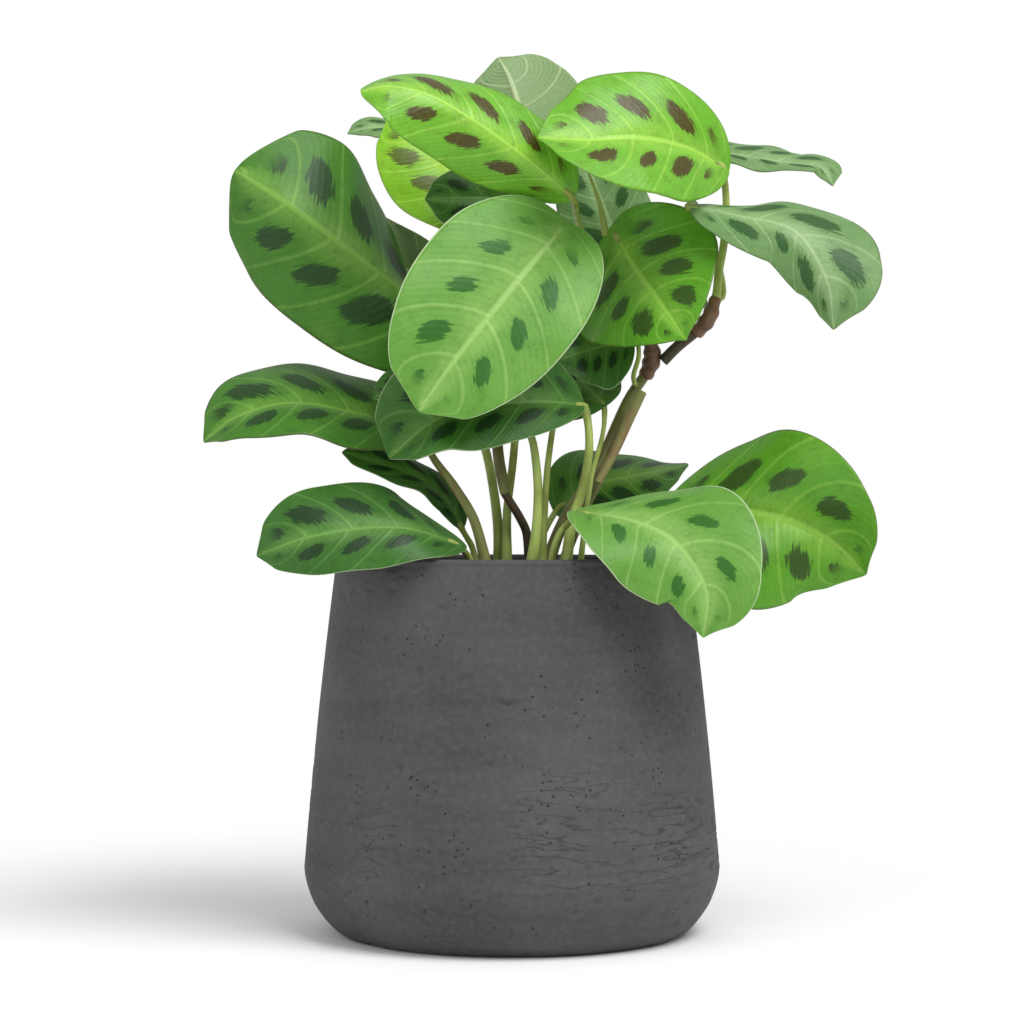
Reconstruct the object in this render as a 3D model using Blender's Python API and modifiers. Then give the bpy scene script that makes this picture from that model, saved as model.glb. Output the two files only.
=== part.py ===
"""A prayer plant (Maranta) in a thick-walled fibre-clay pot.

Every leaf blade, petiole (leaf stalk), cane and sheath is an object of its own. The origin is the centre of
the pot's base, +Z is up and the best-looking side faces -Y. Sizes are in millimetres and become metres in MM.
"""

import math
from dataclasses import dataclass

import bmesh
import bpy
from mathutils import Vector

MM = 0.001
OBJECT_NAME = "potted_prayer_plant"

# Pot, turned about the Z axis.
POT_HEIGHT = 153.5
RIM_RADIUS = 72.0
BELLY_RADIUS = 85.2
BELLY_HEIGHT = 27.0
FOOT_RADIUS = 69.0
FOOT_POWER = 1.6
WALL_BULGE = 0.8
WALL = 9.0
FLOOR = 14.0
LIP = 1.6
POT_STEPS = 44

# Soil, which fills the pot up to a low mound.
SOIL_CENTRE = 151.0
SOIL_EDGE = 142.0
SOIL_STEPS = 28

GAP = 0.3
BLADE = 0.8
BLADE_STEPS = 9
BLADE_ROWS = 6
BACK_OFF = 2.0
TUBE_STEPS = 7
EDGE_CURL = -26.0


@dataclass(frozen=True)
class Leaf:
    """One blade: its midrib from base to tip, where its upper face looks, and its half widths."""

    name: str
    rib: tuple
    face_base: tuple
    face_tip: tuple
    half: tuple
    outline: tuple = (0.50, 0.62)
    lobe: float = 3.0
    fold: tuple = (12.0, 12.0)
    look: str = "mature"


@dataclass(frozen=True)
class Stem:
    """A round stalk through its points. It ends at its leaf's base, or starts in the soil, if so told."""

    name: str
    points: tuple
    radius: tuple
    leaf: str = ""
    rooted: bool = False
    look: str = "petiole"


LEAVES = (
    Leaf("leaf_front", ((20, -36, 285), (1, -53, 261), (-22, -65, 231), (-36, -68, 211)),
         (1, -9, 4), (1, -10, 1), (33, 37), (0.37, 0.46), 4, (18, 23), "satin"),
    Leaf("leaf_left_tall", ((-26, 4, 250), (-46, -8, 264), (-68, -15, 280), (-90, -18, 296), (-113, -12, 311)),
         (3, -6, 7), (-4, -9, 1), (38, 50), (0.32, 0.32), 22, (-14, -22), "mature"),
    Leaf("leaf_top_left", ((24, -30, 298), (4, -45, 313), (-28, -58, 333), (-46, -60, 338), (-59, -60, 336)),
         (-3, -9, 1), (-1, -6, 8), (22, 25), (0.49, 0.34), 1, (-18, -12), "young"),
    Leaf("leaf_top_right", ((86, -10, 313), (70, -24, 319), (50, -37, 321), (30, -46, 319), (10, -50, 319)),
         (4, -9, 2), (2, -6, 7), (30, 32), (0.64, 0.60), 4, (15, 17), "young"),
    Leaf("leaf_yellow", ((-3, 10, 291), (-22, 4, 309), (-38, 2, 325), (-51, 5, 336)),
         (2, -7, 7), (-4, -9, 4), (28, 26), (0.57, 0.58), 4, (14, 12), "lime"),
    Leaf("leaf_dark_inner", ((13, -8, 293), (-5, -14, 299), (-21, -20, 299), (-35, -24, 298)),
         (0, -8, 6), (1, -10, 2), (19, 15), (0.52, 0.60), 2, (7, 15), "shade"),
    Leaf("leaf_pale_inner", ((50, 26, 276), (41, 24, 295), (34, 24, 312), (30, 26, 327)),
         (0, -9, 3), (0, -9, 3), (20, 20), (0.50, 0.62), 2, (10, 10), "bluish"),
    Leaf("leaf_right_inner", ((43, 4, 286), (50, -8, 272), (60, -28, 255), (69, -42, 240)),
         (-6, 3, 7), (-3, -9, 4), (35, 35), (0.59, 0.90), 6, (11, 6), "mature"),
    Leaf("leaf_right_droop", ((72, -20, 296), (90, -30, 291), (112, -38, 284), (124, -43, 264), (127, -44, 244)),
         (4, -6, 7), (-5, -6, 6), (31, 17), (0.63, 0.65), 0, (-6, -14), "bluish"),
    Leaf("leaf_right_thin", ((78, 12, 323), (96, 8, 320), (116, 2, 316), (127, 0, 314), (132, -2, 306)),
         (0, -5, 9), (0, -4, 9), (21, 12), (0.51, 0.67), 0, (6, 9), "bluish"),
    Leaf("leaf_back_top", ((10, 26, 314), (4, 34, 340), (-1, 40, 357), (-6, 42, 366)),
         (3, 9, 4), (0, 8, -5), (28, 28), (0.54, 0.54), 2, (16, 11), "mature"),
    Leaf("leaf_back_tip", ((-24, 20, 320), (-43, 24, 332), (-58, 24, 334), (-69, 22, 331)),
         (0, -4, 9), (0, -6, 8), (11, 11), (0.50, 0.57), 0, (11, 11), "bluish"),
    Leaf("leaf_shadow_right", ((50, -3, 243), (40, -3, 241), (29, -4, 238), (18, -8, 234)),
         (0, -8, 5), (1, -9, 5), (20, 14), (0.50, 0.62), 0, (8, 12), "shade"),
    Leaf("leaf_small_under", ((37, -6, 217), (31, 4, 224), (24, 14, 232), (16, 24, 239)),
         (-2, -8, 5), (0, -7, 7), (18, 14), (0.42, 0.65), 3, (0, 6), "mature"),
    Leaf("leaf_dark_behind", ((27, 2, 233), (15, -6, 228), (-3, -14, 222)),
         (0, -7, 7), (1, -9, 4), (10, 9), (0.55, 0.50), 0, (8, 12), "shade"),
    Leaf("leaf_low_centre", ((29, -24, 215), (11, -36, 216), (-9, -46, 214), (-30, -54, 208), (-48, -56, 193)),
         (1, -9, 4), (-7, -7, -2), (19, 28), (0.62, 0.50), 0, (27, 26), "shade"),
    Leaf("leaf_left_mid", ((-38, -10, 206), (-62, -18, 212), (-88, -28, 216), (-110, -34, 210), (-123, -34, 200)),
         (-1, -5, 9), (-1, -4, 9), (29, 38), (0.46, 0.59), 7, (4, 17), "mature"),
    Leaf("leaf_peek_left", ((-25, -16, 228), (-41, -20, 223), (-56, -22, 218)),
         (0, -7, 7), (0, -8, 6), (7, 12), (0.51, 0.55), 0, (13, 13), "shade"),
    Leaf("leaf_left_lower", ((-20, -14, 165), (-26, -16, 176), (-39, -22, 187), (-68, -30, 196)),
         (-2, -5, 8), (-3, -7, 6), (8, 11), (0.60, 0.50), 0, (5, 8), "shade"),
    Leaf("leaf_rim_left", ((-22, -52, 160), (-41, -63, 166), (-58, -66, 166), (-80, -68, 162), (-99, -64, 155)),
         (-1, -4, 8), (2, -8, 4), (18, 26), (0.60, 0.60), 5, (-8, 11), "shade"),
    Leaf("leaf_rim_right", ((27, -48, 172), (46, -59, 169), (62, -70, 161), (74, -79, 142), (73, -80, 124)),
         (0, -2, 9), (-3, -10, -1), (34, 28), (0.50, 0.72), 3, (6, 14), "satin"),
    Leaf("leaf_far_right", ((62, -8, 174), (88, -20, 173), (110, -29, 169), (128, -34, 160), (141, -36, 147)),
         (2, -5, 8), (-4, -9, -3), (37, 42), (0.52, 0.66), 0, (20, 18), "mature"),
    Leaf("leaf_behind_stems", ((20, 24, 174), (36, 26, 184), (54, 26, 188), (74, 22, 192)),
         (3, -9, 3), (0, -3, 10), (26, 22), (0.54, 0.48), 3, (-6, -5), "mature"),
    Leaf("leaf_back_left", ((-16, 38, 268), (-38, 39, 272), (-56, 37, 284), (-70, 35, 300)),
         (0, 9, 4), (0, 9, 4), (16, 14), (0.50, 0.62), 2, (11, 13), "mature"),
)

STEMS = (
    Stem("petiole_left_mid", ((-9, -24, 151), (-15, -24, 168), (-23, -22, 182), (-32, -12, 194)), (2.4, 1.3),
         "leaf_left_mid", True, "sheathed"),
    Stem("petiole_left_lower", ((-14, -14, 152), (-16, -11, 157)), (1.5, 1.1), "leaf_left_lower", True),
    Stem("petiole_left_tall", ((-5, -6, 152), (-6, -6, 169), (-11, 0, 198), (-21, 6, 224)), (2.2, 1.4),
         "leaf_left_tall", True),
    Stem("cane_left_low", ((7, -12, 151), (6, -14, 163), (3, -16, 170), (-2, -18, 178)), (1.9, 1.7), "", True, "dark"),
    Stem("cane_left_up", ((-3, -18, 182), (-5, -18, 191), (-6, -14, 202), (-5, 0, 220), (-3, 6, 247), (-2, 14, 283)),
         (2.4, 1.6), look="olive"),
    Stem("petiole_front", ((-2, -14, 152), (-2, -10, 172), (0, -12, 189), (3, -24, 216), (10, -30, 250)), (1.8, 1.2),
         "leaf_front", True),
    Stem("petiole_peek", ((7, -34, 152), (10, -32, 168), (10, -30, 188), (6, -32, 206), (-8, -26, 218)), (2.2, 1.0),
         "leaf_peek_left", True),
    Stem("petiole_dark_behind", ((12, -20, 151), (13, -18, 169), (15, -14, 195), (20, -4, 220)), (1.6, 1.0),
         "leaf_dark_behind", True),
    Stem("petiole_low_centre", ((21, -34, 152), (24, -28, 168), (28, -26, 180), (31, -27, 198)), (2.3, 1.4),
         "leaf_low_centre", True),
    Stem("petiole_small_under", ((27, -18, 152), (32, -16, 185), (37, -12, 204)), (1.2, 0.9), "leaf_small_under", True),
    Stem("cane_main", ((12, -8, 151), (21, -10, 168), (34, -8, 188), (48, 4, 218), (54, 8, 227)), (2.6, 2.2),
         "", True, "olive"),
    Stem("cane_second", ((18, 2, 151), (30, 2, 173), (38, 4, 189), (49, 12, 215), (53, 14, 225)), (2.0, 1.6),
         "", True, "olive"),
    Stem("cut_sheath", ((36, -14, 186), (42, -12, 197), (47, -10, 208), (52, -8, 219)), (1.6, 2.2), look="sheathed"),
    Stem("node_lower", ((56, 8, 230), (58, 6, 236), (57, 4, 242)), (3.4, 3.0), look="node"),
    Stem("cane_right", ((64, 4, 236), (68, 3, 240), (73, 1, 244)), (2.4, 2.2), look="dark"),
    Stem("node_upper", ((77, 0, 247), (81, -2, 252), (83, -2, 258)), (3.2, 2.6), look="node"),
    Stem("petiole_top_right", ((84, -2, 261), (85, -2, 271), (87, -2, 282), (88, -3, 296)), (1.9, 1.3),
         "leaf_top_right"),
    Stem("petiole_top_left", ((57, 5, 246), (50, 14, 256), (36, 20, 272), (29, 2, 286), (26, -16, 293)), (1.8, 1.2),
         "leaf_top_left"),
    Stem("sheath_top_left", ((38, -3, 288), (36, -5, 298), (32, -6, 309)), (1.6, 0.5), look="petiole"),
    Stem("petiole_rim_left", ((-14, -40, 150), (-17, -46, 154)), (1.5, 1.2), "leaf_rim_left", True),
    Stem("petiole_rim_right", ((14, -46, 150), (18, -48, 162)), (1.6, 1.2), "leaf_rim_right", True),
    Stem("petiole_far_right", ((34, -2, 150), (46, -4, 166)), (1.7, 1.3), "leaf_far_right", True),
    Stem("petiole_behind_stems", ((9, 14, 151), (12, 20, 160)), (1.7, 1.2), "leaf_behind_stems", True),
    Stem("petiole_right_droop", ((87, 2, 262), (83, 4, 282), (75, -6, 298)), (1.5, 1.1), "leaf_right_droop"),
    Stem("petiole_right_thin", ((80, 8, 258), (77, 13, 280), (75, 15, 305)), (1.4, 1.0), "leaf_right_thin"),
    Stem("petiole_back_top", ((3, 18, 284), (8, 23, 300)), (1.4, 1.1), "leaf_back_top"),
    Stem("petiole_back_tip", ((-3, 20, 286), (-12, 20, 305)), (1.2, 0.9), "leaf_back_tip"),
    Stem("petiole_yellow", ((-7, 9, 262), (-6, 10, 277)), (1.0, 0.8), "leaf_yellow"),
    Stem("petiole_dark_inner", ((2, 4, 256), (10, -2, 276)), (1.3, 1.0), "leaf_dark_inner"),
    Stem("petiole_pale_inner", ((56, 14, 246), (54, 20, 262)), (1.4, 1.1), "leaf_pale_inner"),
    Stem("petiole_right_inner", ((53, 0, 247), (47, 2, 264)), (1.4, 1.1), "leaf_right_inner"),
    Stem("petiole_back_left", ((-8, 14, 244), (-11, 28, 257)), (1.3, 1.0), "leaf_back_left"),
    Stem("petiole_shadow_right", ((50, 0, 228), (52, -3, 236)), (1.1, 0.9), "leaf_shadow_right"),
)

COLOURS = {
    "young": (0.20, 0.42, 0.05), "mature": (0.08, 0.22, 0.03), "satin": (0.16, 0.32, 0.10),
    "shade": (0.05, 0.15, 0.03), "lime": (0.33, 0.55, 0.04), "bluish": (0.17, 0.30, 0.16),
    "petiole": (0.22, 0.30, 0.06), "sheathed": (0.24, 0.20, 0.10), "olive": (0.14, 0.17, 0.04),
    "dark": (0.04, 0.04, 0.02), "node": (0.12, 0.06, 0.03),
    "clay": (0.065, 0.062, 0.065), "soil": (0.05, 0.032, 0.02),
}
LEAF_ROUGHNESS = 0.45
DRY_ROUGHNESS = 0.9


def clear_scene():
    """Remove whatever the file holds."""
    for old in list(bpy.data.objects):
        bpy.data.objects.remove(old, do_unlink=True)


def material(look, roughness):
    """Return the material of that look, made once."""
    found = bpy.data.materials.get(look)
    if found:
        return found
    made = bpy.data.materials.new(look)
    made.use_nodes = True
    shader = made.node_tree.nodes["Principled BSDF"]
    shader.inputs["Base Color"].default_value = (*COLOURS[look], 1.0)
    shader.inputs["Roughness"].default_value = roughness
    return made


def add_object(name, data, collection, finish):
    """Put data into the collection as an object with the finish."""
    made = bpy.data.objects.new(name, data)
    data.materials.append(finish)
    collection.objects.link(made)
    return made


def route(points, share):
    """Return the place and the direction at a share of the way along a smooth curve through the points."""
    steps = [0.0]
    for here, after in zip(points, points[1:]):
        steps.append(steps[-1] + (after - here).length)
    knots = [step / steps[-1] for step in steps]
    last = len(points) - 1
    index = max(i for i in range(last) if knots[i] <= share or i == 0)

    def slope(i):
        before, after = max(i - 1, 0), min(i + 1, last)
        return (points[after] - points[before]) / (knots[after] - knots[before])

    span = knots[index + 1] - knots[index]
    s = (share - knots[index]) / span
    start, end = points[index], points[index + 1]
    pull, push = slope(index) * span, slope(index + 1) * span
    place = (start * (2 * s**3 - 3 * s**2 + 1) + pull * (s**3 - 2 * s**2 + s)
             + end * (3 * s**2 - 2 * s**3) + push * (s**3 - s**2))
    heading = (start - end) * (6 * s**2 - 6 * s) + pull * (3 * s**2 - 4 * s + 1) + push * (3 * s**2 - 2 * s)
    return place, heading.normalized()


def blade_point(leaf, share, across):
    """Return the point of a blade at a share of its midrib and at across of its half width, -1 to 1."""
    place, ahead = route([Vector(p) for p in leaf.rib], share)
    look = Vector(leaf.face_base).normalized().lerp(Vector(leaf.face_tip).normalized(), share)
    up = (look - ahead * look.dot(ahead)).normalized()
    side = 0 if across < 0 else 1
    base_power, tip_power = leaf.outline
    widest = base_power / (base_power + tip_power)
    top = widest**base_power * (1 - widest) ** tip_power
    width = leaf.half[side] * share**base_power * (1 - share) ** tip_power / top
    reach = abs(across) * width
    fold = math.radians(leaf.fold[side])
    bend = math.radians(EDGE_CURL) / leaf.half[side]
    out = (math.sin(fold + bend * reach) - math.sin(fold)) / bend
    rise = (math.cos(fold) - math.cos(fold + bend * reach)) / bend
    right = ahead.cross(up) * (out if side else -out)
    return place + right + up * rise - ahead * (leaf.lobe * abs(across) * (1 - share) ** 3)


def build_leaf(leaf, collection):
    """Bend a grid into the blade and thicken it."""
    mesh = bpy.data.meshes.new(leaf.name)
    grid = bmesh.new()
    bmesh.ops.create_grid(grid, x_segments=BLADE_STEPS, y_segments=BLADE_ROWS, size=1.0)
    for vert in grid.verts:
        share = (1 - math.cos(math.pi * (vert.co.x + 1) / 2)) / 2
        vert.co = blade_point(leaf, min(max(share, 0.0), 1.0), vert.co.y) * MM
    bmesh.ops.remove_doubles(grid, verts=grid.verts, dist=0.02 * MM)
    grid.to_mesh(mesh)
    grid.free()
    made = add_object(leaf.name, mesh, collection, material(leaf.look, LEAF_ROUGHNESS))
    thick = made.modifiers.new("Thickness", "SOLIDIFY")
    thick.thickness = BLADE * MM
    thick.offset = 0.0
    mesh.shade_smooth()
    return made


def soil_height(distance):
    """Return the soil's height at a distance from the pot's axis."""
    share = distance / (RIM_RADIUS - WALL)
    return SOIL_CENTRE - (SOIL_CENTRE - SOIL_EDGE) * share**2


def stem_points(stem):
    """Return a stem's route, set on the soil and led up to its leaf's base."""
    points = [Vector(p) for p in stem.points]
    if stem.rooted:
        lean = (points[1] - points[0]).normalized()
        tilt = math.sqrt(max(1 - lean.z**2, 0.0))
        foot = points[0]
        foot.z = soil_height(math.hypot(foot.x, foot.y)) + GAP + stem.radius[0] * tilt
    if stem.leaf:
        leaf = next(leaf for leaf in LEAVES if leaf.name == stem.leaf)
        base, ahead = route([Vector(p) for p in leaf.rib], 0.0)
        look = Vector(leaf.face_base)
        up = (look - ahead * look.dot(ahead)).normalized()
        points.append(base - ahead * BACK_OFF - up * (stem.radius[1] + BLADE))
    return points


def build_stem(stem, collection):
    """Sweep a round section along the stem's route."""
    points = stem_points(stem)
    curve = bpy.data.curves.new(stem.name, "CURVE")
    curve.dimensions = "3D"
    curve.bevel_depth = MM
    curve.bevel_resolution = 2
    curve.use_fill_caps = True
    spline = curve.splines.new("POLY")
    spline.points.add(TUBE_STEPS - 1)
    start, end = stem.radius
    for i, point in enumerate(spline.points):
        share = i / (TUBE_STEPS - 1)
        place, _ = route(points, share)
        point.co = (*(place * MM), 1.0)
        point.radius = start + (end - start) * share
    return add_object(stem.name, curve, collection, material(stem.look, LEAF_ROUGHNESS))


def wall_radius(height):
    """Return the pot's outer radius at a height."""
    if height < BELLY_HEIGHT:
        share = 1 - (1 - height / BELLY_HEIGHT) ** FOOT_POWER
        return FOOT_RADIUS + (BELLY_RADIUS - FOOT_RADIUS) * share ** (1 / FOOT_POWER)
    share = (height - BELLY_HEIGHT) / (POT_HEIGHT - BELLY_HEIGHT)
    straight = BELLY_RADIUS + (RIM_RADIUS - BELLY_RADIUS) * share
    return straight + WALL_BULGE * math.sin(math.pi * share)


def turned(name, profile, steps, collection, finish):
    """Turn a profile of (radius, height), which runs down the outer side, about the Z axis."""
    mesh = bpy.data.meshes.new(name)
    line = bmesh.new()
    verts = [line.verts.new((radius * MM, 0.0, height * MM)) for radius, height in profile]
    for here, after in zip(verts, verts[1:]):
        line.edges.new((here, after))
    line.to_mesh(mesh)
    line.free()
    made = add_object(name, mesh, collection, finish)
    turn = made.modifiers.new("Turn", "SCREW")
    turn.steps = steps
    turn.render_steps = steps
    turn.use_merge_vertices = True
    turn.merge_threshold = 0.00001
    turn.use_smooth_shade = True
    return made


def build_pot(collection):
    """The thick pot: floor, inner wall, rounded lip, outer wall, rounded foot and flat base."""
    inner_heights = (FLOOR, 40.0, 80.0, 120.0, POT_HEIGHT - LIP)
    inner = [(wall_radius(height) - WALL, height) for height in inner_heights]
    lip = [(RIM_RADIUS - WALL + LIP, POT_HEIGHT), (RIM_RADIUS - LIP, POT_HEIGHT)]
    outer_heights = (POT_HEIGHT - LIP, 120.0, 90.0, 60.0, 40.0, BELLY_HEIGHT, 20.0, 14.0, 9.0, 5.0, 2.0, 0.0)
    outer = [(wall_radius(height), height) for height in outer_heights]
    profile = [(0.0, FLOOR)] + inner + lip + outer + [(0.0, 0.0)]
    return turned("pot", profile, POT_STEPS, collection, material("clay", DRY_ROUGHNESS))


def build_soil(collection):
    """The soil, which fills the pot with a gap of GAP to it."""
    rings = (0.0, 20.0, 40.0)
    top = [(ring, soil_height(ring)) for ring in rings]
    heights = (SOIL_EDGE, 120.0, 80.0, 40.0, FLOOR + GAP)
    side = [(wall_radius(height) - WALL - 2 * GAP, height) for height in heights]
    profile = top + side + [(0.0, FLOOR + GAP)]
    return turned("soil", profile, SOIL_STEPS, collection, material("soil", DRY_ROUGHNESS))


def main():
    """Build the plant and its pot."""
    clear_scene()
    collection = bpy.data.collections.new(OBJECT_NAME)
    bpy.context.scene.collection.children.link(collection)
    build_pot(collection)
    build_soil(collection)
    for leaf in LEAVES:
        build_leaf(leaf, collection)
    for stem in STEMS:
        build_stem(stem, collection)


main()
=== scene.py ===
"""Looks of the potted prayer plant: fine leaves, stalks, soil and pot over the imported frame."""

from dataclasses import dataclass
from enum import Enum
import logging
import math

import bmesh
import bpy
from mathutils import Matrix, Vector, noise
import numpy as np

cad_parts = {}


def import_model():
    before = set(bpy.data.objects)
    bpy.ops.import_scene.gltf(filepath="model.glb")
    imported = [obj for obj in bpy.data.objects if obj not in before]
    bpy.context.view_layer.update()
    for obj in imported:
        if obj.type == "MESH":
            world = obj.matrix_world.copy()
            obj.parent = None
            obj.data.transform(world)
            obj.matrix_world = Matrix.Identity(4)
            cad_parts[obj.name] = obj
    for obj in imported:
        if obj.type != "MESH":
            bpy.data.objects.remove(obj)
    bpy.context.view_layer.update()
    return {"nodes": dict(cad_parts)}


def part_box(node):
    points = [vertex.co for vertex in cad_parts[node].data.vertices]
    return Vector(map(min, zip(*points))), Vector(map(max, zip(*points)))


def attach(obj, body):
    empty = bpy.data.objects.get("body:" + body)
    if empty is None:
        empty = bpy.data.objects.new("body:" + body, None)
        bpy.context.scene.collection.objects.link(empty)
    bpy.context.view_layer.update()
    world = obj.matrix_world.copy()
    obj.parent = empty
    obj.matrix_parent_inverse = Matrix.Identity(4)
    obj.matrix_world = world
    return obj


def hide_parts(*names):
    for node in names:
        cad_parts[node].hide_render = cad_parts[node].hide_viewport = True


LOG = logging.getLogger("prayer_plant")
MM = 0.001

# The leaf's pattern, in shares of the blade: cells between side veins, and one blotch in each cell.
BLADE_MAP = "Blade"
RIB_CELLS, CELL_SHIFT, CELL_STAGGER = 4.7, 0.42, 0.10
CELL_OFFSET = 4.0
VEIN_SLANT, VEIN_BEND = 0.24, 1.3
FINE_RIBS = 44.0
BLOTCH_PHASE, BLOTCH_LENGTH = 0.52, 0.31
BLOTCH_ACROSS, BLOTCH_WIDTH = 0.43, 0.21
VEIN_COLOUR = "#c3d3a3"

# The leaf's sheet, in mm and degrees.
LEAF_ROWS, LEAF_COLUMNS = 72, 40
LEAF_SHEET = 0.45
WELD = 0.01
TIP_TAPER, TIP_START = 0.55, 0.93
QUILT = 0.32
RIPPLE, RIPPLE_WAVES = 0.9, 2.6
RIPPLE_SIDE, RIPPLE_LEAF = 0.37, 0.21
GROOVE_DEPTH, GROOVE_SPREAD = 0.5, 4.0
EDGE_CURL = -26.0

# Stalks, in mm and in shares of their length.
STALK_POINTS, STALK_SIDES = 28, 14
STALK_OVERLAP = 2.4
ROOT_DEPTH = 7.0
LANDING = 0.05
LANDING_DROPS = (1.1, 0.9)
JOINT_SWELL, JOINT_AT, JOINT_SPREAD = 0.35, 0.93, 0.06
ROOT_SWELL, ROOT_SPREAD = 0.30, 0.12
CANE_SAMPLES = 20

# The pot, in metres.
POT_TURN, POT_RISE = 300, 190
RIM_RADIUS, BELLY_RADIUS, FOOT_RADIUS = 0.0720, 0.0852, 0.0690
BELLY_HEIGHT, FOOT_POWER, WALL_BULGE = 0.027, 1.6, 0.0008
POT_LIP, POT_WALL = 1.6 * MM, 9.0 * MM
LIP_STEPS = 6
INSIDE_DEPTH = 0.020
FOOT_FLAT, FIRST_RING = 0.98, 0.0006

# The clay's wear, in metres.
PIT_SCALES, PIT_SHARES = (170.0, 330.0), (0.6, 0.4)
PIT_START, PIT_DEPTH = 0.30, 4.0 * MM
PATCH_SCALE, PATCH_SHIFT = 22.0, Vector((3.0, 1.0, 5.0))
CRACK_HEIGHT, CRACK_SPREAD = 0.045, 0.022
CRACK_WIDTH, CRACK_DEPTH = 0.07, 18.0 * MM
DEEPEST = 1.4 * MM
LIP_LINE, LIP_LINE_WIDTH, LIP_LINE_DEPTH = 0.1508, 0.0009, 0.35 * MM
WORN_FOOT, FOOT_WEAR, FOOT_SCALE = 0.012, 0.08, 60.0

# Soil crumbs.
CRUMB_COUNT, CRUMB_SEED = 1500, 4
CRUMB_RADIUS = 1.1
CRUMB_FIELD = 0.06
CRUMB_SMALLEST, CRUMB_LARGEST = (0.5, 0.4, 0.4), (1.7, 1.3, 1.0)
SOIL_DOME, FACING_UP = 0.011, 0.5

# The studio.
CAMERA_DISTANCE, CAMERA_HEIGHT, LENS = 1.105, 0.172, 94.4
AIM = Vector((0.0, 0.0, 0.18))
FLOOR_SIZE, FLOOR_NEAR, FLOOR_FAR = 12.0, 0.20, 0.42
AIR_LIGHT, AIR_SEEN = 0.55, 0.45


class Look(Enum):
    """The finishes that a leaf or a stalk can have; the shade look is painted shade, and the yellow-green
    look is partly painted light through a backlit blade.
    """

    YOUNG = "young"
    MATURE = "mature"
    FRESH = "fresh"
    SATIN = "satin"
    SHADE = "shade"
    LIME_BACKLIT = "lime"
    BLUISH = "bluish"
    PETIOLE = "petiole"
    SHEATHED = "sheathed"
    OLIVE = "olive"
    DARK = "dark"
    NODE = "node"


@dataclass(frozen=True)
class LeafFinish:
    """A leaf's colours as sRGB hex, its gloss and how large its blotches are."""

    base: str
    light: str
    blotch: str
    under: str
    margin: str
    roughness: float
    spot: float


@dataclass(frozen=True)
class StalkFinish:
    """A stalk's two colours as sRGB hex."""

    low: str
    high: str


@dataclass(frozen=True)
class Leaf:
    """One blade, as in the frame: its midrib, where its upper face looks, and its half widths in mm."""

    name: str
    rib: tuple
    face_base: tuple
    face_tip: tuple
    half: tuple
    outline: tuple = (0.50, 0.62)
    lobe: float = 3.0
    fold: tuple = (12.0, 12.0)
    look: str = "mature"


@dataclass(frozen=True)
class Stem:
    """A round stalk through its points in mm, thinning from one radius to the other."""

    name: str
    points: tuple
    radius: tuple
    leaf: str = ""
    rooted: bool = False
    look: str = "petiole"


LEAF_FINISHES = {
    Look.YOUNG: LeafFinish("#66a826", "#a2d450", "#43300f", "#a3c27c", "#6f8f3a", 0.32, 1.15),
    Look.MATURE: LeafFinish("#3c7416", "#7aa844", "#133808", "#8fa574", "#5a4a34", 0.44, 1.25),
    Look.FRESH: LeafFinish("#54951a", "#90c048", "#2a450f", "#9bb47c", "#5d5a30", 0.38, 1.15),
    Look.SATIN: LeafFinish("#5f9436", "#98c068", "#1f5c10", "#a3b88c", "#cfe3b4", 0.46, 0.88),
    # Painted shade: a darker copy of the leaf colours for the inner and lower leaves that sit in the
    # canopy's shade.
    Look.SHADE: LeafFinish("#316418", "#689642", "#0d2f08", "#86a078", "#b5c79a", 0.44, 1.2),
    # Painted light: this bright yellow-green is partly the leaf's own colour and partly light shining
    # through a backlit blade.
    Look.LIME_BACKLIT: LeafFinish("#7db81e", "#b4dc50", "#4f5a16", "#a9cc5a", "#86a83a", 0.40, 1.3),
    Look.BLUISH: LeafFinish("#668c50", "#9ab982", "#234f1c", "#9db48e", "#5c6a4c", 0.46, 1.15),
}
STALK_FINISHES = {
    Look.PETIOLE: StalkFinish("#7d8a3a", "#a3b85c"),
    Look.SHEATHED: StalkFinish("#8a6a4c", "#8c9450"),
    Look.OLIVE: StalkFinish("#5f5a2c", "#7c8440"),
    Look.DARK: StalkFinish("#2c2a18", "#4f3f28"),
    Look.NODE: StalkFinish("#5c3f2c", "#7d5c40"),
}
CANE_LOOKS = (Look.OLIVE.value, Look.DARK.value, Look.NODE.value)
FRESH_LEAVES = ("leaf_right_inner", "leaf_far_right")

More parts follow.
